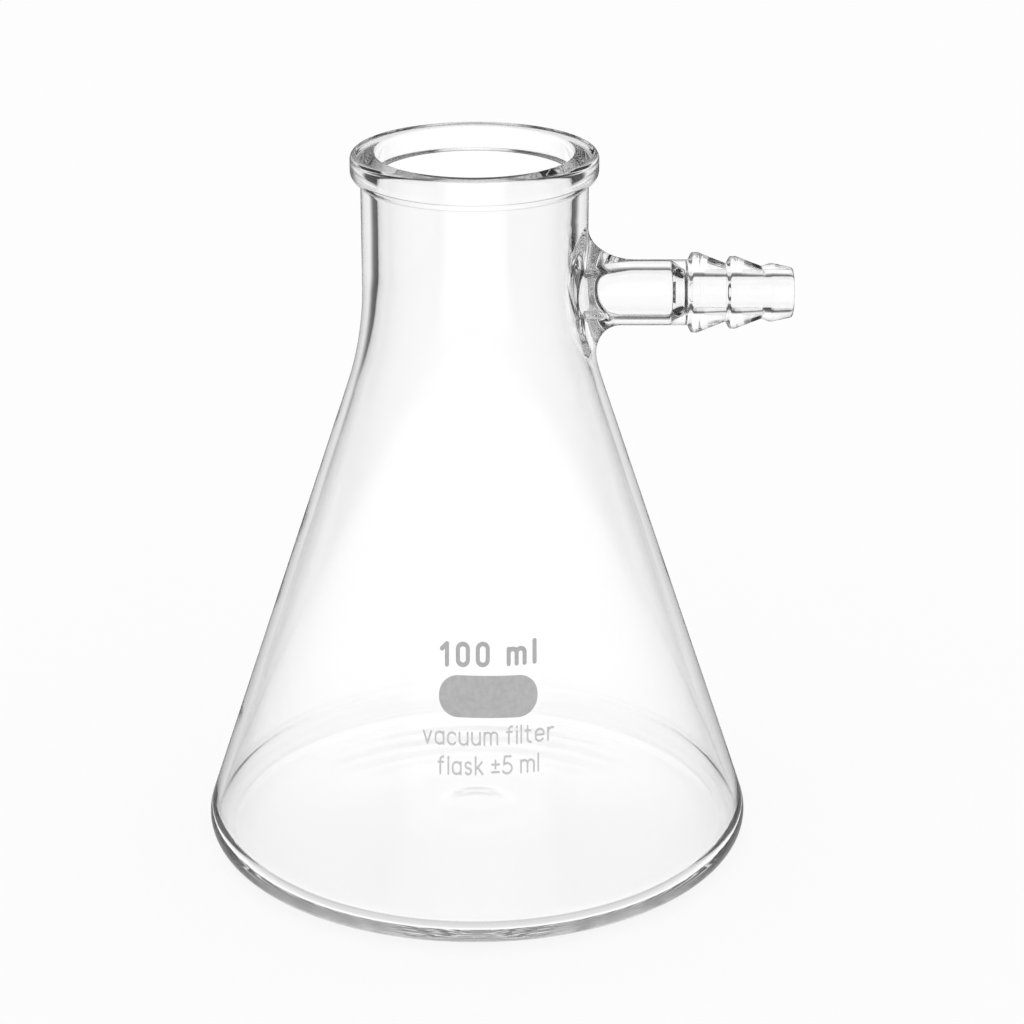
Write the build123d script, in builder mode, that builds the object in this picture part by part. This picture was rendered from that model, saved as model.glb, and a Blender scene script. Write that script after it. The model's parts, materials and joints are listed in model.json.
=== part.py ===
from build123d import *
import os
from math import cos, radians, sin, tan

os.makedirs("parts", exist_ok=True)

# A 100 ml vacuum filter flask. The origin is on the flask's axis, in the plane it stands on.
# +Z runs up the neck, the side arm points along +X, and the print faces -Y.

# Outside of the blown body
overall_height = 90.5
base_diameter = 70.0
neck_diameter = 27.8
cone_half_angle = 18.3
heel_radius = 2.8
shoulder_radius = 42.0

# Beaded rim
rim_diameter = 30.3
rim_side_height = 2.9
rim_underside_drop = 0.7
rim_top_radius = 0.8
rim_bottom_radius = 1.2
rim_root_radius = 0.8
mouth_edge_radius = 0.5

# Wall and base: the glass thins from the neck down to the cone
neck_wall = 2.0
cone_wall = 1.2
floor_thickness = 1.2
floor_flat_radius = 9.0
floor_blend_radius = 30.0
inner_heel_height = 1.5
inner_heel_radius = 2.2

# Push-up under the base: a shallow cone with a flat middle and a soft, very shallow dimple in it
standing_ring_inner_radius = 29.0
standing_ring_edge_radius = 5.0
push_up_height = 1.4
push_up_flat_radius = 11.0
push_up_blend_radius = 120.0
dimple_radius = 5.5
dimple_side_run = 3.0
dimple_depth = 0.2
dimple_edge_radius = 20.0

# Side arm: a moulded hose connection with three barbs that get smaller towards the tip
arm_height = 72.6
arm_reach = 39.2
arm_radius = 4.05
arm_foot_radius = 4.2
arm_bore_radius = 2.75
tip_bore_radius = 1.95
tip_radius = 3.05
bore_step_start = 24.1
bore_step_end = 25.7
bore_step_radius = 0.8
barb_1_start = 26.2
barb_1_radius = 4.95
barb_1_waist = 3.58
barb_2_start = 30.9
barb_2_radius = 4.46
barb_2_waist = 3.24
barb_3_start = 35.3
barb_3_radius = 3.6
barb_face_run = 0.45
barb_crest_run = 0.75
barb_3_face_run = 1.0
barb_3_crest_run = 0.3
crest_edge_radius = 0.3
waist_edge_radius = 0.15
tip_edge_radius = 0.5
tip_bore_edge_radius = 0.25
joint_line = 23.0

# Fired enamel print on the front of the cone
enamel_thickness = 0.08
print_centre_x = 1.7
capacity_height = 34.7
capacity_letter_size = 2.4
capacity_pen = 0.5
capacity_gap = 0.5
spot_height = 29.8
spot_width = 11.9
spot_depth = 4.8
spot_end_radius = 2.3
spot_tilt = -1.5
note_height = 25.3
note_letter_size = 1.95
tolerance_height = 21.9
note_pen = 0.22
note_gap = 0.27
letter_x_height = 0.7
letter_bowl_radius = 0.25
print_start = 20.0
print_reach = 20.0
print_band_bottom = 18.0
print_band_top = 40.0

half_angle = radians(cone_half_angle)
base_radius = base_diameter / 2
neck_radius = neck_diameter / 2
rim_radius = rim_diameter / 2
neck_bore_radius = neck_radius - neck_wall

# Radius at which the cone's outer line would reach the standing plane, past the rounded heel
heel_corner_radius = base_radius + heel_radius * (1 / tan((radians(90) - half_angle) / 2) - 1)
inner_cone_foot_radius = heel_corner_radius - cone_wall / cos(half_angle)


def cone_radius(height):
    return heel_corner_radius - height * tan(half_angle)


def inner_cone_radius(height):
    return inner_cone_foot_radius - height * tan(half_angle)


outer_shoulder_height = (heel_corner_radius - neck_radius) / tan(half_angle)
inner_shoulder_height = (inner_cone_foot_radius - neck_bore_radius) / tan(half_angle)

rim_side_bottom = overall_height - rim_side_height
rim_root_height = rim_side_bottom - rim_underside_drop

dimple_top = push_up_height + dimple_depth
floor_centre_height = push_up_height + floor_thickness

# Outer outline from the rim down to the inner edge of the standing ring, as corners and their radii
outer_corners = [
    (rim_radius, overall_height),
    (rim_radius, rim_side_bottom),
    (neck_radius, rim_root_height),
    (neck_radius, outer_shoulder_height),
    (heel_corner_radius, 0),
]
outer_radii = [rim_top_radius, rim_bottom_radius, rim_root_radius, shoulder_radius, heel_radius]

underside_corners = [
    (standing_ring_inner_radius, 0),
    (push_up_flat_radius, push_up_height),
    (dimple_radius, push_up_height),
    (dimple_radius - dimple_side_run, dimple_top),
]
underside_radii = [
    standing_ring_edge_radius,
    push_up_blend_radius,
    dimple_edge_radius,
    dimple_edge_radius,
]

inner_corners = [
    (floor_flat_radius, floor_centre_height),
    (inner_cone_radius(inner_heel_height), inner_heel_height),
    (neck_bore_radius, inner_shoulder_height),
    (neck_bore_radius, overall_height),
]
inner_radii = [floor_blend_radius, inner_heel_radius, shoulder_radius, mouth_edge_radius]

# The filled outside shape of the neck and cone, used to trim what is fused or printed on it
with BuildPart() as envelope:
    with BuildSketch(Plane.YZ) as envelope_section:
        with BuildLine():
            outline = FilletPolyline(
                (0, overall_height), *outer_corners, (0, 0), radius=outer_radii
            )
            Line(outline @ 1, outline @ 0)
        make_face()
    revolve(axis=Axis.Z)

arm_axis = Axis((0, 0, arm_height), (1, 0, 0))

# Blown body: base, cone, neck and beaded rim in one wall, with the hole that the arm is fused over
with BuildPart() as flask_body:
    with BuildSketch(Plane.YZ) as wall_section:
        with BuildLine():
            wall_line = FilletPolyline(
                (0, floor_centre_height),
                *inner_corners,
                *outer_corners,
                *underside_corners,
                (0, dimple_top),
                radius=[*inner_radii, *outer_radii, *underside_radii],
            )
            Line(wall_line @ 1, wall_line @ 0)
        make_face()
    revolve(axis=Axis.Z)
    with BuildSketch(Plane.YZ) as arm_hole:
        with Locations((0, arm_height)):
            Circle(arm_bore_radius)
    extrude(amount=neck_radius + neck_wall, mode=Mode.SUBTRACT)
flask_body.part.label = "flask_body"

# Hose connection: a barbed tube whose flared foot follows the neck
hose_connection_corners = [
    (joint_line, arm_radius),
    (barb_1_start, arm_radius),
    (barb_1_start + barb_face_run, barb_1_radius),
    (barb_1_start + barb_face_run + barb_crest_run, barb_1_radius),
    (barb_2_start, barb_1_waist),
    (barb_2_start + barb_face_run, barb_2_radius),
    (barb_2_start + barb_face_run + barb_crest_run, barb_2_radius),
    (barb_3_start, barb_2_waist),
    (barb_3_start + barb_3_face_run, barb_3_radius),
    (barb_3_start + barb_3_face_run + barb_3_crest_run, barb_3_radius),
    (arm_reach, tip_radius),
    (arm_reach, tip_bore_radius),
    (bore_step_end, tip_bore_radius),
    (bore_step_start, arm_bore_radius),
]
barb_radii = [waist_edge_radius, crest_edge_radius, crest_edge_radius]
tip_radii = [tip_edge_radius, tip_bore_edge_radius]
hose_connection_radii = [*barb_radii * 3, *tip_radii, bore_step_radius, bore_step_radius]
arm_plane = Plane(origin=(0, 0, arm_height), x_dir=(1, 0, 0), z_dir=(0, -1, 0))


def is_foot_edge(edge):
    middle = edge.center()
    near_neck = abs(middle.X - neck_radius) < neck_wall
    return near_neck and abs(middle.Z - arm_height) < arm_radius + neck_wall / 2


with BuildPart() as side_arm:
    add(envelope.part)
    with BuildSketch(Plane.YZ) as arm_root:
        with Locations((0, arm_height)):
            Circle(arm_radius)
    extrude(amount=joint_line)
    fillet(edges().filter_by(is_foot_edge), arm_foot_radius)
    add(envelope.part, mode=Mode.SUBTRACT)
    with BuildSketch(Plane.YZ) as root_bore:
        with Locations((0, arm_height)):
            Circle(arm_bore_radius)
    extrude(amount=joint_line, mode=Mode.SUBTRACT)
    with BuildSketch(arm_plane) as hose_connection:
        with BuildLine():
            connection_line = FilletPolyline(
                *hose_connection_corners,
                (joint_line, arm_bore_radius),
                radius=hose_connection_radii,
            )
            Line(connection_line @ 1, connection_line @ 0)
        make_face()
    revolve(axis=arm_axis)
side_arm.part.label = "side_arm"

# The outside of the print: a cone that clears the glass by the thickness of the fired enamel
print_band_height = print_band_top - print_band_bottom
enamel_run = enamel_thickness / cos(half_angle)
with BuildPart(Plane.XY.offset(print_band_bottom)) as print_limit:
    Cone(
        cone_radius(print_band_bottom) + enamel_run,
        cone_radius(print_band_top) + enamel_run,
        print_band_height,
        align=(Align.CENTER, Align.CENTER, Align.MIN),
    )


# Letters are drawn with a round pen in a cell one unit high: each has a width and its strokes
bowl = letter_bowl_radius
waist = letter_x_height - letter_bowl_radius


def line(x_start, y_start, x_end, y_end):
    return Edge.make_line((x_start, y_start), (x_end, y_end))


def turn(x, y, radius, start_angle, end_angle):
    return Edge.make_circle(radius, Plane((x, y)), start_angle, end_angle)


def stem(x, top=letter_x_height, bottom=0.0):
    return line(x, bottom, x, top)


upper_bowl = turn(bowl, waist, bowl, 0, 180)
lower_bowl = turn(bowl, bowl, bowl, 180, 360)
open_upper_bowl = turn(bowl, waist, bowl, 35, 180)
open_lower_bowl = turn(bowl, bowl, bowl, 180, 325)
tall_bowl = turn(bowl, 1 - bowl, bowl, 0, 180)
first_arch = turn(0.2, 0.5, 0.2, 0, 180)
second_arch = turn(0.6, 0.5, 0.2, 0, 180)
left_side = stem(0, waist, bowl)
right_side = stem(0.5, waist, 0.36)
cross_bar = line(0, 0.68, 0.3, 0.68)

letters = {
    "0": (0.5, [stem(0, 0.75, bowl), stem(0.5, 0.75, bowl), tall_bowl, lower_bowl]),
    "1": (0.3, [line(0, 0.75, 0.25, 1), stem(0.25, 1)]),
    "5": (0.5, [line(0.45, 1, 0.08, 1), line(0.08, 1, 0.03, 0.55), turn(0.22, 0.3, 0.3, -145, 130)]),
    "a": (0.5, [upper_bowl, left_side, lower_bowl, stem(0.5)]),
    "c": (0.45, [open_upper_bowl, left_side, open_lower_bowl]),
    "e": (0.5, [upper_bowl, left_side, open_lower_bowl, line(0, 0.36, 0.5, 0.36), right_side]),
    "f": (0.35, [stem(0.12, 0.8), turn(0.32, 0.8, 0.2, 90, 180), cross_bar]),
    "i": (0.0, [stem(0), stem(0, 0.97, 0.93)]),
    "k": (0.42, [stem(0, 1), line(0, 0.25, 0.38, 0.7), line(0.13, 0.4, 0.42, 0)]),
    "l": (0.0, [stem(0, 1)]),
    "m": (0.8, [stem(0), first_arch, stem(0.4, 0.5), second_arch, stem(0.8, 0.5)]),
    "r": (0.3, [stem(0), turn(bowl, waist, bowl, 70, 180)]),
    "s": (0.38, [turn(0.19, 0.525, 0.175, 30, 270), turn(0.19, 0.175, 0.175, -150, 90)]),
    "t": (0.35, [stem(0.12, 0.95, 0.2), turn(0.32, 0.2, 0.2, 180, 270), cross_bar]),
    "u": (0.5, [stem(0, letter_x_height, bowl), lower_bowl, stem(0.5)]),
    "v": (0.46, [line(0, 0.7, 0.23, 0), line(0.23, 0, 0.46, 0.7)]),
    "±": (0.44, [line(0, 0.55, 0.44, 0.55), line(0.22, 0.33, 0.22, 0.77), line(0, 0.1, 0.44, 0.1)]),
    " ": (0.05, []),
}


def printed_text(words, height, size, pen, gap):
    advances = [letters[letter][0] + gap for letter in words]
    cursor = print_centre_x - (sum(advances) - gap) * size / 2
    with BuildPart() as print_piece:
        with BuildSketch(Plane.XZ.offset(print_start)):
            for letter, advance in zip(words, advances):
                with Locations((cursor, height - size / 2)):
                    for stroke in letters[letter][1]:
                        SlotArc(stroke.scale(size), pen)
                cursor += advance * size
        extrude(amount=print_reach)
        add(print_limit.part, mode=Mode.INTERSECT)
        add(envelope.part, mode=Mode.SUBTRACT)
    return print_piece.part


capacity_mark = printed_text(
    "100 ml", capacity_height, capacity_letter_size, capacity_pen, capacity_gap
)
capacity_mark.label = "capacity_mark"
use_note = printed_text("vacuum filter", note_height, note_letter_size, note_pen, note_gap)
use_note.label = "use_note"
tolerance_note = printed_text("flask ±5 ml", tolerance_height, note_letter_size, note_pen, note_gap)
tolerance_note.label = "tolerance_note"

with BuildPart() as marking_spot:
    with BuildSketch(Plane.XZ.offset(print_start)):
        with Locations((print_centre_x, spot_height)):
            RectangleRounded(spot_width, spot_depth, spot_end_radius, rotation=spot_tilt)
    extrude(amount=print_reach)
    add(print_limit.part, mode=Mode.INTERSECT)
    add(envelope.part, mode=Mode.SUBTRACT)
marking_spot.part.label = "marking_spot"

export_step(flask_body.part, "parts/flask_body.step")
export_step(side_arm.part, "parts/side_arm.step")
export_step(capacity_mark, "parts/capacity_mark.step")
export_step(marking_spot.part, "parts/marking_spot.step")
export_step(use_note, "parts/use_note.step")
export_step(tolerance_note, "parts/tolerance_note.step")
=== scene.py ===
import json
import math

import bmesh
import bpy
import numpy as np
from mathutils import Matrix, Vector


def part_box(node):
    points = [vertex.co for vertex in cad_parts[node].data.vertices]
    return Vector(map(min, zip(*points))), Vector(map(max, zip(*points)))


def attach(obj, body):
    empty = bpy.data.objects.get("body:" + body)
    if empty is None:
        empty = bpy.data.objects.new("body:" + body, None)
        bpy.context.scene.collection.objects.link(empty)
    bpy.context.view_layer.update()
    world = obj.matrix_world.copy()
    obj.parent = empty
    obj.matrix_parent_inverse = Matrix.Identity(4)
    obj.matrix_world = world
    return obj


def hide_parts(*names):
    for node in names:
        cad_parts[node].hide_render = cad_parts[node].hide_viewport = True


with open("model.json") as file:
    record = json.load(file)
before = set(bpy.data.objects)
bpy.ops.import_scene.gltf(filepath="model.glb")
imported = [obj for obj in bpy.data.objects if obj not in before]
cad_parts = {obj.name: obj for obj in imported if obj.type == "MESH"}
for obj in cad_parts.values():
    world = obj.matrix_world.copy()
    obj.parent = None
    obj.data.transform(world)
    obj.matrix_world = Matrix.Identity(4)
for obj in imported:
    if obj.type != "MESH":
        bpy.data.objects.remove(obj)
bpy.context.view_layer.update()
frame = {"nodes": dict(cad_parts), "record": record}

MM = 0.001

# ---------------------------------------------------------------- sizes, in millimetres

# Read from the frame
body_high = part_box("flask_body")[1]
arm_low, arm_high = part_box("side_arm")
mounts = {mount["name"]: mount for mount in frame["record"]["mounts"]}
overall_height = body_high.z / MM
base_radius = body_high.x / MM
arm_height = mounts["hose_connection_bore"]["pos_m"][2] / MM
arm_reach = arm_high.x / MM
neck_bore_radius = mounts["mouth"]["dims"]["r_mm"]
tip_bore_radius = mounts["hose_connection_bore"]["dims"]["r_mm"]
foot_half_width = arm_high.y / MM
foot_rise = arm_high.z / MM - arm_height
foot_drop = arm_height - arm_low.z / MM

# Outside and wall of the blown body
half_angle = math.radians(18.3)
heel_radius = 2.8
shoulder_radius = 42.0
neck_wall = 2.0
cone_wall = 1.2
neck_radius = neck_bore_radius + neck_wall

# Beaded rim. Its outline has closer points, down to just below it inside and outside.
rim_radius = 15.15
rim_side_height = 2.9
rim_underside_drop = 0.7
mouth_edge_radius = 0.5
rim_top_radius = 0.8
rim_bottom_radius = 1.2
rim_root_radius = 0.8
rim_inside_end = overall_height - 4
rim_outside_end = overall_height - 6

# Push-up under the base: a shallow cone with a flat middle and a soft, very shallow dimple in it
standing_ring_inner_radius = 29.0
standing_ring_edge_radius = 5.0
push_up_height = 1.4
push_up_flat_radius = 11.0
push_up_blend_radius = 120.0
dimple_radius = 5.5
dimple_side_run = 3.0
dimple_depth = 0.2
dimple_edge_radius = 20.0
dimple_top = push_up_height + dimple_depth

# Floor and heel inside
floor_thickness = 1.2
floor_flat_radius = 9.0
floor_blend_radius = 30.0
inner_heel_height = 1.5
inner_heel_radius = 2.2
floor_top = push_up_height + floor_thickness

# Side arm: a moulded hose connection with three barbs that get smaller towards the tip
arm_radius = 4.05
arm_bore_radius = 2.75
bore_mouth_edge_radius = 0.6
joint_line = 23.0
bore_step_start = 24.1
bore_step_end = 25.7
bore_step_radius = 0.8
tip_radius = 3.05
tip_edge_radius = 0.5
tip_bore_edge_radius = 0.25
waist_edge_radius = 0.15
crest_edge_radius = 0.3

# Each barb: where it starts, the radius there and at its crest, the runs of its face and its crest
barbs = [
    (26.2, arm_radius, 4.95, 0.45, 0.75),
    (30.9, 3.58, 4.46, 0.45, 0.75),
    (35.3, 3.24, 3.6, 1.0, 0.3),
]

# How much further along the arm than a plain rounding the foot reaches, on its upper and lower side
foot_flare_above = 0.45
foot_flare_below = -0.2

# ---------------------------------------------------------------- density of the meshes

LINE_SPACING = 1.2
LINE_TURN = math.radians(6.0)
RIM_SPACING = 0.4
WALL_SPACING = 0.05
HOSE_SPACING = 0.5
HOSE_TURN = math.radians(15.0)
ARC_STEPS = 3

# Points round the flask, and the patch round the arm's foot: its half width in columns, its rows,
# its reach above and below the arm's axis, and the least gap from it to the outline's next point
COLUMNS = 256
PATCH = 28
PATCH_ROWS = 40
PATCH_ABOVE = 10.4
PATCH_BELOW = 11.6
PATCH_GAP = 0.3

# Rings in each stretch between the patch and the joint line
WEB_RINGS = 10
JOINT_RINGS = 6
BORE_MOUTH_RINGS = 6
NECK_BORE_RINGS = 3
FOOT_RINGS = 16
TUBE_RINGS = 7
ARM_BORE_RINGS = 10


# ---------------------------------------------------------------- outlines

def rounded(corners, radii, spacing=LINE_SPACING, turn_step=LINE_TURN):
    """Points along a line of corners, where each inner corner is rounded to its radius."""
    corners = [np.array(corner, float) for corner in corners]
    stops = [corners[0]]
    for before, corner, after, radius in zip(corners, corners[1:], corners[2:], radii):
        into = (corner - before) / np.linalg.norm(corner - before)
        out = (after - corner) / np.linalg.norm(after - corner)
        turn = math.acos(np.clip(np.dot(into, out), -1, 1))
        reach = radius * math.tan(turn / 2)
        side = np.sign(into[0] * out[1] - into[1] * out[0])
        centre = corner - into * reach + side * radius * np.array([-into[1], into[0]])
        arm = corner - into * reach - centre
        steps = max(ARC_STEPS, math.ceil(turn / turn_step), math.ceil(turn * radius / spacing))
        for k in range(steps + 1):
            angle = side * turn * k / steps
            c, s = math.cos(angle), math.sin(angle)
            stops.append(centre + np.array([c * arm[0] - s * arm[1], s * arm[0] + c * arm[1]]))
    stops.append(corners[-1])
    points = [stops[0]]
    for stop in stops[1:]:
        gap = np.linalg.norm(stop - points[-1])
        if gap < 1e-6:
            continue
        pieces = max(1, math.ceil(gap / spacing))
        start = points[-1]
        points.extend(start + (stop - start) * (k + 1) / pieces for k in range(pieces))
    return np.array(points)


# Radii at which the cone's outer and inner lines would reach the standing plane, and the heights at
# which they would reach the neck's
heel_corner = base_radius + heel_radius * (1 / math.tan((math.pi / 2 - half_angle) / 2) - 1)
inner_foot = heel_corner - cone_wall / math.cos(half_angle)
outer_shoulder = (heel_corner - neck_radius) / math.tan(half_angle)
inner_shoulder = (inner_foot - neck_bore_radius) / math.tan(half_angle)
rim_side_bottom = overall_height - rim_side_height

inner_line = rounded(
    [
        (0, floor_top),
        (floor_flat_radius, floor_top),
        (inner_foot - inner_heel_height * math.tan(half_angle), inner_heel_height),
        (neck_bore_radius, inner_shoulder),
        (neck_bore_radius, rim_inside_end),
    ],
    [floor_blend_radius, inner_heel_radius, shoulder_radius],
)
rim_line = rounded(
    [
        (neck_bore_radius, rim_inside_end),
        (neck_bore_radius, overall_height),
        (rim_radius, overall_height),
        (rim_radius, rim_side_bottom),
        (neck_radius, rim_side_bottom - rim_underside_drop),
        (neck_radius, rim_outside_end),
    ],
    [mouth_edge_radius, rim_top_radius, rim_bottom_radius, rim_root_radius],
    spacing=RIM_SPACING,
)
outer_line = rounded(
    [
        (neck_radius, rim_outside_end),
        (neck_radius, outer_shoulder),
        (heel_corner, 0),
        (standing_ring_inner_radius, 0),
        (push_up_flat_radius, push_up_height),
        (dimple_radius, push_up_height),
        (dimple_radius - dimple_side_run, dimple_top),
        (0, dimple_top),
    ],
    [shoulder_radius, heel_radius, standing_ring_edge_radius, push_up_blend_radius,
     dimple_edge_radius, dimple_edge_radius],
)

# The cone, shoulder and neck alone, going up, close enough in their points to be read as curves
inner_wall = rounded(
    [(inner_foot, 0), (neck_bore_radius, inner_shoulder), (neck_bore_radius, overall_height)],
    [shoulder_radius],
    spacing=WALL_SPACING,
)
outer_wall = rounded(
    [(heel_corner, 0), (neck_radius, outer_shoulder), (neck_radius, overall_height)],
    [shoulder_radius],
    spacing=WALL_SPACING,
)

barb_corners = []
for start, root, crest, face_run, crest_run in barbs:
    face_end = start + face_run
    barb_corners += [(start, root), (face_end, crest), (face_end + crest_run, crest)]

# Distance along the arm and radius, from the joint line out to the tip and back down the bore
hose_line = rounded(
    [
        (joint_line, arm_radius),
        *barb_corners,
        (arm_reach, tip_radius),
        (arm_reach, tip_bore_radius),
        (bore_step_end, tip_bore_radius),
        (bore_step_start, arm_bore_radius),
        (joint_line, arm_bore_radius),
    ],
    [*[waist_edge_radius, crest_edge_radius, crest_edge_radius] * len(barbs),
     tip_edge_radius, tip_bore_edge_radius, bore_step_radius, bore_step_radius],
    spacing=HOSE_SPACING,
    turn_step=HOSE_TURN,
)


def radius_at(wall, height):
    return np.interp(height, wall[:, 1], wall[:, 0])


def on_wall(wall, curve):
    """The curve of y and z values, laid on the neck's wall on the arm's side."""
    y, z = curve[:, 0], curve[:, 1]
    return np.column_stack([np.sqrt(radius_at(wall, z) ** 2 - y * y), y, z])


def steps_between(start, end, count, whole=True):
    """Curves from the start to the end in equal steps. The end itself is there only if whole."""
    for k in range(1, count + 1 if whole else count):
        yield start + (end - start) * k / count


# ---------------------------------------------------------------- mesh building

class Skin:
    """Collects rings of points and the faces between them."""

    def __init__(self):
        self.points, self.faces, self.hidden, self.sharp = [], [], [], set()

    def ring(self, points):
        first = len(self.points)
        self.points.extend(points)
        return list(range(first, len(self.points)))

    def at(self, ring):
        return np.array([self.points[i] for i in ring])

    def between(self, a, b, closed=True, hidden=False):
        count = len(a) if closed else len(a) - 1
        for i in range(count):
            j = (i + 1) % len(a)
            self.faces.append((a[i], a[j], b[j], b[i]))
            self.hidden.append(hidden)

    def follow(self, last, curves, hidden=False):
        """A ring along each curve, joined to the one before. Returns the last ring."""
        for curve in curves:
            ring = self.ring(curve)
            self.between(last, ring, hidden=hidden)
            last = ring
        return last

    def cap(self, ring, point):
        tip = self.ring([point])[0]
        for i in range(len(ring)):
            self.faces.append((ring[i], ring[(i + 1) % len(ring)], tip))
            self.hidden.append(False)

    def crease(self, ring):
        """Keeps the edges along the ring sharp."""
        self.sharp.update(frozenset(pair) for pair in zip(ring, ring[1:] + ring[:1]))

    def build(self, name, materials):
        """The finished piece. Its hidden faces take the second material."""
        mesh = bpy.data.meshes.new(name)
        mesh.from_pydata((np.array(self.points) * MM).tolist(), [], self.faces)
        for face, hidden in zip(mesh.polygons, self.hidden):
            face.material_index = 1 if hidden else 0
            face.use_smooth = True
        work = bmesh.new()
        work.from_mesh(mesh)
        bmesh.ops.recalc_face_normals(work, faces=work.faces)
        for edge in work.edges:
            edge.smooth = frozenset(corner.index for corner in edge.verts) not in self.sharp
        open_edges = sum(1 for edge in work.edges if len(edge.link_faces) != 2)
        print(name, "faces", len(work.faces), "edges without two faces", open_edges)
        work.to_mesh(mesh)
        work.free()
        for material in materials:
            mesh.materials.append(material)
        piece = bpy.data.objects.new(name, mesh)
        bpy.context.scene.collection.objects.link(piece)
        return piece


patch_top = arm_height + PATCH_ABOVE
patch_bottom = arm_height - PATCH_BELOW
patch_heights = np.linspace(patch_top, patch_bottom, PATCH_ROWS + 1)


def column_point(radius, height, column):
    angle = 2 * math.pi * column / COLUMNS
    return (radius * math.cos(angle), radius * math.sin(angle), height)


def lathe(skin, line):
    """Full rings for each point of the line. A point on the axis is left to cap()."""
    return [
        skin.ring([column_point(radius, height, column) for column in range(COLUMNS)])
        for radius, height in line if radius > 1e-6
    ]


def wall_with_window(skin, wall):
    """The wall from the patch's top to its bottom, open where the arm's foot goes.

    Returns its top ring, its bottom ring and the loop of points round the window."""
    arc = range(PATCH, COLUMNS - PATCH + 1)
    rows = []
    for k, height in enumerate(patch_heights):
        columns = range(COLUMNS) if k in (0, PATCH_ROWS) else arc
        ids = skin.ring([column_point(radius_at(wall, height), height, j) for j in columns])
        rows.append(dict(zip(columns, ids)))
    for upper, lower in zip(rows, rows[1:]):
        skin.between([upper[j] for j in arc], [lower[j] for j in arc], closed=False)
    middle = PATCH_ROWS // 2
    loop = [rows[k][PATCH] for k in range(middle, 0, -1)]
    loop += [rows[0][j % COLUMNS] for j in range(PATCH, -PATCH, -1)]
    loop += [rows[k][COLUMNS - PATCH] for k in range(0, PATCH_ROWS)]
    loop += [rows[PATCH_ROWS][j % COLUMNS] for j in range(-PATCH, PATCH)]
    loop += [rows[k][PATCH] for k in range(PATCH_ROWS, middle, -1)]
    top, bottom = ([row[j] for j in range(COLUMNS)] for row in (rows[0], rows[-1]))
    return top, bottom, loop


def loop_angles():
    """Angle round the arm's axis of each point of the window's loop."""
    scratch = Skin()
    loop = wall_with_window(scratch, outer_wall)[2]
    return [math.atan2(z - arm_height, y) for _, y, z in scratch.at(loop)]


# Every ring round the arm has one point for each of these angles
angles = loop_angles()


def circle(radius):
    """A circle about the arm's axis, as y and z."""
    return np.array([(radius * math.cos(a), arm_height + radius * math.sin(a)) for a in angles])


def circle_at(x, radius):
    return np.column_stack([np.full(len(angles), x), circle(radius)])


# The outline of the arm's foot on the neck, as y and z
foot = np.array([
    (foot_half_width * math.cos(a),
     arm_height + (foot_rise if math.sin(a) > 0 else foot_drop) * math.sin(a))
    for a in angles
])


def web(skin, wall, ring, goal, count, hidden=False, whole=True):
    """Rings along the wall from a ring to a curve of y and z. Returns the last ring."""
    curves = steps_between(skin.at(ring)[:, 1:], goal, count, whole)
    return skin.follow(ring, (on_wall(wall, curve) for curve in curves), hidden)


# ---------------------------------------------------------------- flask body

def bore_mouth():
    """Curves round the melted edge where the arm's bore opens inside the neck."""
    for k in range(1, BORE_MOUTH_RINGS + 1):
        turn = math.pi / 2 * k / BORE_MOUTH_RINGS
        radius = arm_bore_radius + bore_mouth_edge_radius * (1 - math.sin(turn))
        inset = np.array([bore_mouth_edge_radius * (1 - math.cos(turn)), 0, 0])
        yield on_wall(inner_wall, circle(radius)) + inset


def make_body(materials):
    skin = Skin()
    above, below = patch_top + PATCH_GAP, patch_bottom - PATCH_GAP
    inner_high = inner_line[inner_line[:, 1] > above]
    outer_high = outer_line[outer_line[:, 1] > above]

    low = lathe(skin, inner_line[inner_line[:, 1] < below])
    skin.cap(low[0], (0, 0, floor_top))
    top_in, bottom_in, loop_in = wall_with_window(skin, inner_wall)
    high = lathe(skin, np.vstack([inner_high[:-1], rim_line, outer_high[1:]]))
    top_out, bottom_out, loop_out = wall_with_window(skin, outer_wall)
    under = lathe(skin, outer_line[outer_line[:, 1] < below])
    skin.cap(under[-1], (0, 0, dimple_top))
    for rings in (low + [bottom_in], [top_in] + high + [top_out], [bottom_out] + under):
        for a, b in zip(rings, rings[1:]):
            skin.between(a, b)

    mouth_start = circle(arm_bore_radius + bore_mouth_edge_radius)
    mouth = skin.follow(web(skin, inner_wall, loop_in, mouth_start, WEB_RINGS), bore_mouth())
    foot_ring = web(skin, outer_wall, loop_out, foot, WEB_RINGS)
    bore_end = circle(arm_bore_radius)
    bore_ring = web(skin, outer_wall, foot_ring, bore_end, JOINT_RINGS, hidden=True)
    bore = steps_between(skin.at(mouth), skin.at(bore_ring), NECK_BORE_RINGS, whole=False)
    skin.between(skin.follow(mouth, bore), bore_ring)
    skin.crease(bore_ring)
    return skin.build("flask_glass", materials)


# ---------------------------------------------------------------- side arm

def foot_curves():
    """Where the foot's rounding starts on the neck, its corners, and where it ends on the tube.

    A corner is where the plane that touches the neck at the start meets the tube's side."""
    starts = on_wall(outer_wall, foot)
    corners, ends = [], []
    for start, (y, z), angle in zip(starts, circle(arm_radius), angles):
        height, nudge = start[2], WALL_SPACING
        radius = radius_at(outer_wall, height)
        rise = radius_at(outer_wall, height + nudge) - radius_at(outer_wall, height - nudge)
        normal = np.array([start[0] / radius, start[1] / radius, -rise / (2 * nudge)])
        x = start[0] - (normal[1] * (y - start[1]) + normal[2] * (z - height)) / normal[0]
        corner = np.array([x, y, z])
        upward = math.sin(angle)
        flare = 1 + foot_flare_above * max(upward, 0) + foot_flare_below * max(-upward, 0)
        corners.append(corner)
        ends.append(corner + np.array([np.linalg.norm(start - corner) * flare, 0, 0]))
    return starts, np.array(corners), np.array(ends)


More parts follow.
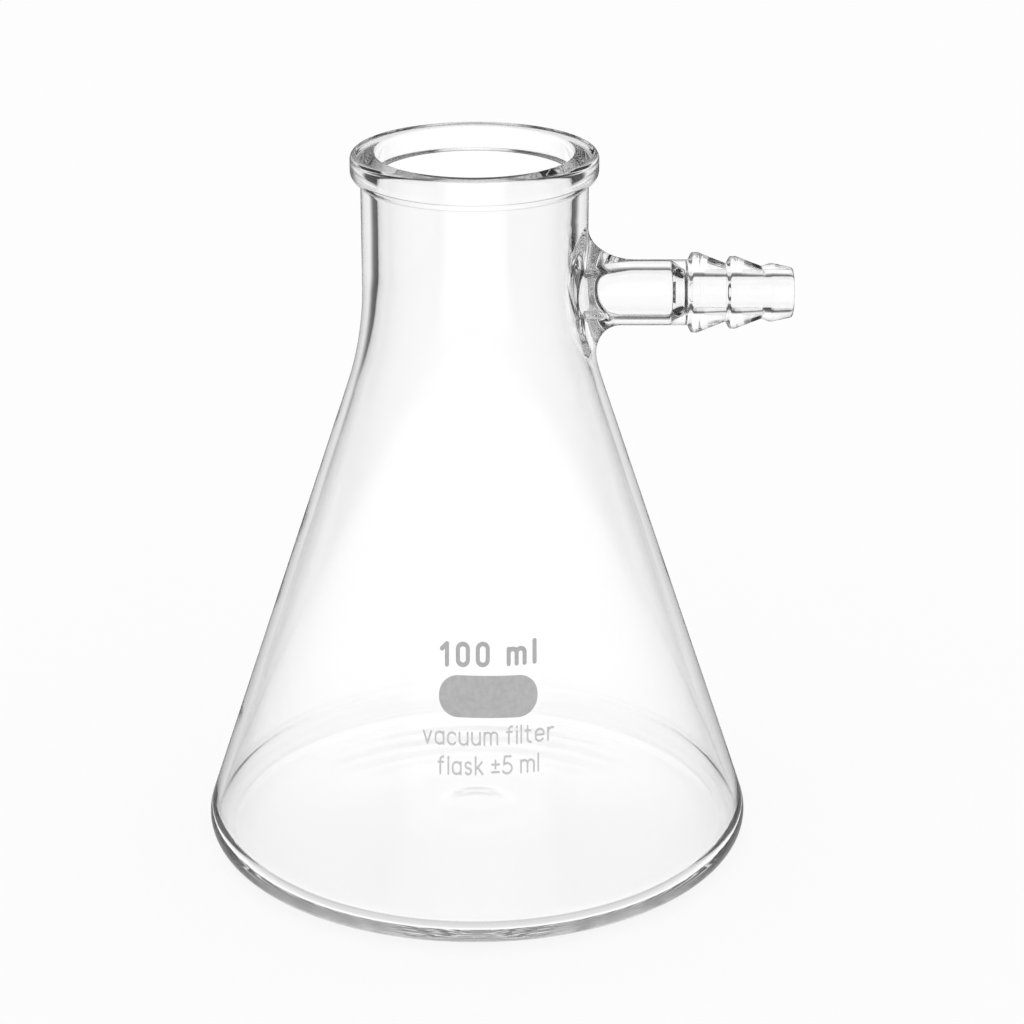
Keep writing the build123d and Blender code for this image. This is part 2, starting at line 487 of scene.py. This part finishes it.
def foot_rounding(starts, corners, ends):
    """Curves that go from the starts to the ends along conic arcs, which round the corners."""
    weight = math.sqrt(0.5)
    for k in range(1, FOOT_RINGS + 1):
        t = k / FOOT_RINGS
        b0, b1, b2 = (1 - t) ** 2, 2 * t * (1 - t) * weight, t * t
        yield (starts * b0 + corners * b1 + ends * b2) / (b0 + b1 + b2)


def make_arm(materials):
    skin = Skin()
    starts, corners, ends = foot_curves()
    first = skin.ring(starts)
    last = skin.follow(first, foot_rounding(starts, corners, ends))
    tube_end = circle_at(joint_line, arm_radius)
    last = skin.follow(last, steps_between(ends, tube_end, TUBE_RINGS, whole=False))
    last = skin.follow(last, (circle_at(x, radius) for x, radius in hose_line))
    bore_end = on_wall(outer_wall, circle(arm_bore_radius))
    last = skin.follow(last, steps_between(skin.at(last), bore_end, ARM_BORE_RINGS))
    skin.crease(last)
    skin.crease(first)
    last = web(skin, outer_wall, last, foot, JOINT_RINGS, hidden=True, whole=False)
    skin.between(last, first, hidden=True)
    return skin.build("hose_connection_glass", materials)


# ---------------------------------------------------------------- node helpers

def grey(level):
    return (level, level, level, 1)


def new_material(name):
    """A new material, its node tree and its Principled shader."""
    material = bpy.data.materials.new(name)
    material.use_nodes = True
    return material, material.node_tree, material.node_tree.nodes["Principled BSDF"]


def math_node(tree, operation, *values):
    node = tree.nodes.new("ShaderNodeMath")
    node.operation = operation
    for socket, value in zip(node.inputs, values):
        if isinstance(value, (int, float)):
            socket.default_value = value
        else:
            tree.links.new(value, socket)
    return node.outputs[0]


def combine(tree, operation, *values):
    """All the values, taken together two at a time."""
    result = values[0]
    for value in values[1:]:
        result = math_node(tree, operation, result, value)
    return result


def ramp(tree, value, low, high, to_low, to_high):
    """Goes smoothly from one level to another while the value goes from low to high."""
    node = tree.nodes.new("ShaderNodeMapRange")
    node.interpolation_type = "SMOOTHSTEP"
    tree.links.new(value, node.inputs["Value"])
    ends = {"From Min": low, "From Max": high, "To Min": to_low, "To Max": to_high}
    for socket, number in ends.items():
        node.inputs[socket].default_value = number
    return node.outputs["Result"]


def noise(tree, scale, detail):
    """Uneven variation, fixed to the object."""
    where = tree.nodes.new("ShaderNodeTexCoord")
    node = tree.nodes.new("ShaderNodeTexNoise")
    node.inputs["Scale"].default_value = scale
    node.inputs["Detail"].default_value = detail
    tree.links.new(where.outputs["Object"], node.inputs["Vector"])
    return node.outputs["Fac"]


def add_bump(tree, shader, height, strength, distance):
    node = tree.nodes.new("ShaderNodeBump")
    node.inputs["Strength"].default_value = strength
    node.inputs["Distance"].default_value = distance
    tree.links.new(height, node.inputs["Height"])
    tree.links.new(node.outputs[0], shader.inputs["Normal"])


def glow(tree, level, strength=1.0):
    node = tree.nodes.new("ShaderNodeEmission")
    node.inputs["Color"].default_value = grey(level)
    node.inputs["Strength"].default_value = strength
    return node


def mix_shaders(tree, first, second):
    """Makes a mix of two shaders the tree's surface, and returns the socket of its share."""
    mix = tree.nodes.new("ShaderNodeMixShader")
    tree.links.new(first.outputs[0], mix.inputs[1])
    tree.links.new(second.outputs[0], mix.inputs[2])
    tree.links.new(mix.outputs[0], tree.nodes["Material Output"].inputs["Surface"])
    return mix.inputs[0]


# ---------------------------------------------------------------- materials of the flask

# Scale and height of the faint waves in the blown and in the moulded glass
BLOWN_WAVES = (70.0, 0.2 * MM)
MOULDED_WAVES = (160.0, 0.1 * MM)
WAVE_DETAIL = 1.0
WAVE_STRENGTH = 0.25
GLASS_COLOUR = 0.985
GLASS_IOR = 1.47

# Grey of each enamel, the scale of its grain, and how far the grain varies its grey
PRINT_ENAMEL = (0.46, 2500.0)
NOTE_ENAMEL = (0.6, 2500.0)
SPOT_ENAMEL = (0.48, 1800.0)
GRAIN_DETAIL = 4.0
GRAIN_RANGE = (0.25, 0.75)
GRAIN_SHADES = (0.93, 1.07)
GRAIN_STRENGTH = 0.2
GRAIN_HEIGHT = 0.02 * MM
ENAMEL_ROUGHNESS = 0.55


def glass(name, wave_scale, wave_height):
    """Clear borosilicate glass with the faint waviness of a hand-worked surface."""
    material, tree, shader = new_material(name)
    add_bump(tree, shader, noise(tree, wave_scale, WAVE_DETAIL), WAVE_STRENGTH, wave_height)
    shader.inputs["Base Color"].default_value = grey(GLASS_COLOUR)
    shader.inputs["Roughness"].default_value = 0.0
    shader.inputs["IOR"].default_value = GLASS_IOR
    shader.inputs["Transmission Weight"].default_value = 1.0
    return material


def fused_joint():
    """The plane inside the melted joint, where two pieces of glass are one."""
    material, _, shader = new_material("fused_joint")
    shader.inputs["Alpha"].default_value = 0.0
    return material


def enamel(name, level, grain):
    """Fired enamel: matt, with a fine grain in its grey and in its surface."""
    material, tree, shader = new_material(name)
    speckle = noise(tree, grain, GRAIN_DETAIL)
    dark, light = (level * share for share in GRAIN_SHADES)
    shade = ramp(tree, speckle, *GRAIN_RANGE, dark, light)
    tint = tree.nodes.new("ShaderNodeCombineColor")
    for channel in ("Red", "Green", "Blue"):
        tree.links.new(shade, tint.inputs[channel])
    tree.links.new(tint.outputs[0], shader.inputs["Base Color"])
    add_bump(tree, shader, speckle, GRAIN_STRENGTH, GRAIN_HEIGHT)
    shader.inputs["Roughness"].default_value = ENAMEL_ROUGHNESS
    return material


# ---------------------------------------------------------------- the flask

joint = fused_joint()
body_piece = make_body([glass("blown_glass", *BLOWN_WAVES), joint])
arm_piece = make_arm([glass("moulded_glass", *MOULDED_WAVES), joint])
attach(body_piece, "root")
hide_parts("flask_body")
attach(arm_piece, "root")
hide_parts("side_arm")

print_enamel = enamel("printed_enamel", *PRINT_ENAMEL)
note_enamel = enamel("fine_printed_enamel", *NOTE_ENAMEL)
spot_enamel = enamel("writing_patch_enamel", *SPOT_ENAMEL)
for node, material in (
    ("capacity_mark", print_enamel), ("use_note", note_enamel),
    ("tolerance_note", note_enamel), ("marking_spot", spot_enamel),
):
    for slot in frame["nodes"][node].material_slots:
        slot.material = material

# ---------------------------------------------------------------- floor and card

# Level of the paper that the flask stands on and in front of, and the gain for what is seen
# through the glass, which about makes up for the light that its surfaces mirror away
PAPER = 0.985
THROUGH_GLASS = 1.12

FLOOR_REACH = 4.0
FLOOR_HEIGHT = -0.05 * MM
FLOOR_GLOW = 0.88
CARD_RADIUS = 50.0 * MM
CARD_SIDES = 72
CARD_HEIGHT = -0.1 * MM
CARD_FADE = (26.0 * MM, 45.0 * MM)


def flat_piece(name, outline, height, material):
    """One flat face, facing up."""
    mesh = bpy.data.meshes.new(name)
    mesh.from_pydata([(x, y, height) for x, y in outline], [], [range(len(outline))])
    mesh.materials.append(material)
    piece = bpy.data.objects.new(name, mesh)
    bpy.context.scene.collection.objects.link(piece)
    return piece


def floor_paper():
    """Matt white paper that mostly glows, so that it stays even."""
    material, tree, shader = new_material("floor_paper")
    shader.inputs["Base Color"].default_value = grey(PAPER)
    shader.inputs["Roughness"].default_value = 1.0
    shader.inputs["Specular IOR Level"].default_value = 0.0
    mix_shaders(tree, shader, glow(tree, PAPER)).default_value = FLOOR_GLOW
    return material


def white_card():
    """White in the middle and clear towards the edge, so that the glass mirrors no hard line."""
    material, tree, _ = new_material("white_card")
    where = tree.nodes.new("ShaderNodeTexCoord")
    from_axis = tree.nodes.new("ShaderNodeVectorMath")
    from_axis.operation = "LENGTH"
    tree.links.new(where.outputs["Object"], from_axis.inputs[0])
    white = ramp(tree, from_axis.outputs["Value"], *CARD_FADE, 1.0, 0.0)
    clear = tree.nodes.new("ShaderNodeBsdfTransparent")
    tree.links.new(white, mix_shaders(tree, clear, glow(tree, PAPER, THROUGH_GLASS)))
    return material


floor_outline = [(-FLOOR_REACH, -FLOOR_REACH), (FLOOR_REACH, -FLOOR_REACH),
                 (FLOOR_REACH, FLOOR_REACH), (-FLOOR_REACH, FLOOR_REACH)]
floor = flat_piece("floor", floor_outline, FLOOR_HEIGHT, floor_paper())
floor.visible_transmission = False
floor.visible_glossy = False

# The card lies under the flask, and is seen only through the glass and in what mirrors it
card_angles = [k * math.tau / CARD_SIDES for k in range(CARD_SIDES)]
card_outline = [(CARD_RADIUS * math.cos(a), CARD_RADIUS * math.sin(a)) for a in card_angles]
card = flat_piece("card", card_outline, CARD_HEIGHT, white_card())
card.visible_camera = False
card.visible_diffuse = False
card.visible_shadow = False

# ---------------------------------------------------------------- light

# What takes light away, by the ray's direction: where along an axis it begins and is complete,
# and the share that it takes. The sides have two such steps.
SIDES_FAINT = (0.1, 0.4, 0.14)
SIDES_DARK = (0.46, 0.66, 0.84)
OVERHEAD = (0.25, 0.7, 0.85)
UNDERFOOT = (0.46, 0.88, 0.93)

# What the glass and the enamel mirror: where along the X axis it changes, and its levels in the
# middle and to the sides
MIRRORED_RANGE = (0.35, 0.8)
MIRRORED_LEVELS = (0.02, 0.5)


def studio():
    """Paper white for all but the light that the object lets through or mirrors."""
    world = bpy.data.worlds.new("studio")
    world.use_nodes = True
    tree = world.node_tree
    direction = tree.nodes.new("ShaderNodeTexCoord")
    parts = tree.nodes.new("ShaderNodeSeparateXYZ")
    tree.links.new(direction.outputs["Generated"], parts.inputs[0])
    path = tree.nodes.new("ShaderNodeLightPath")

    def shade(value, begins, complete, share):
        return ramp(tree, value, begins, complete, 0.0, share)

    def without(value):
        return math_node(tree, "SUBTRACT", 1.0, value)

    # Light that has been mirrored on its way through the glass meets dark sides, and less light
    # overhead and underfoot. Light that goes straight through meets none of this.
    sideways = math_node(tree, "ABSOLUTE", parts.outputs["X"])
    downward = math_node(tree, "MULTIPLY", parts.outputs["Z"], -1.0)
    sides = combine(tree, "ADD", shade(sideways, *SIDES_FAINT), shade(sideways, *SIDES_DARK))
    overhead = shade(parts.outputs["Z"], *OVERHEAD)
    underfoot = shade(downward, *UNDERFOOT)
    turned_back = math_node(tree, "GREATER_THAN", path.outputs["Glossy Depth"], 0.5)
    shades = combine(tree, "MAXIMUM", sides, overhead, underfoot)
    dark = combine(tree, "MULTIPLY", turned_back, shades)
    through = combine(tree, "MULTIPLY", without(dark), THROUGH_GLASS * PAPER)
    mirrored = ramp(tree, sideways, *MIRRORED_RANGE, *MIRRORED_LEVELS)

    is_through = path.outputs["Is Transmission Ray"]
    not_diffuse = without(path.outputs["Is Diffuse Ray"])
    is_mirrored = combine(tree, "MULTIPLY", path.outputs["Is Reflection Ray"], not_diffuse)
    is_plain = without(combine(tree, "MAXIMUM", is_through, is_mirrored))
    level = combine(
        tree, "ADD",
        combine(tree, "MULTIPLY", through, is_through),
        combine(tree, "MULTIPLY", mirrored, is_mirrored),
        combine(tree, "MULTIPLY", is_plain, PAPER),
    )
    background = tree.nodes["Background"]
    background.inputs["Color"].default_value = grey(1)
    tree.links.new(level, background.inputs["Strength"])
    return world


scene = bpy.context.scene
scene.world = studio()

# ---------------------------------------------------------------- camera and render settings

# Place, degrees below level, and focal length and sensor in millimetres
CAMERA_PLACE = (4.557 * MM, -357.88 * MM, 183.67 * MM)
CAMERA_TILT = 21.391
CAMERA_LENS = 106.48
CAMERA_SENSOR = 36.0
CAMERA_CLIP = (0.01, 20.0)

camera_data = bpy.data.cameras.new("camera")
camera_data.lens = CAMERA_LENS
camera_data.sensor_width = CAMERA_SENSOR
camera_data.clip_start, camera_data.clip_end = CAMERA_CLIP
camera = bpy.data.objects.new("camera", camera_data)
camera.location = CAMERA_PLACE
camera.rotation_euler = (math.radians(90 - CAMERA_TILT), 0, 0)
scene.collection.objects.link(camera)
bpy.context.scene.camera = camera

scene.view_settings.view_transform = "Standard"

# Light circles many times in the rim and in the heel, and shows black where it is cut off
scene.cycles.max_bounces = 96
scene.cycles.transmission_bounces = 64
scene.cycles.glossy_bounces = 96
scene.cycles.transparent_max_bounces = 32
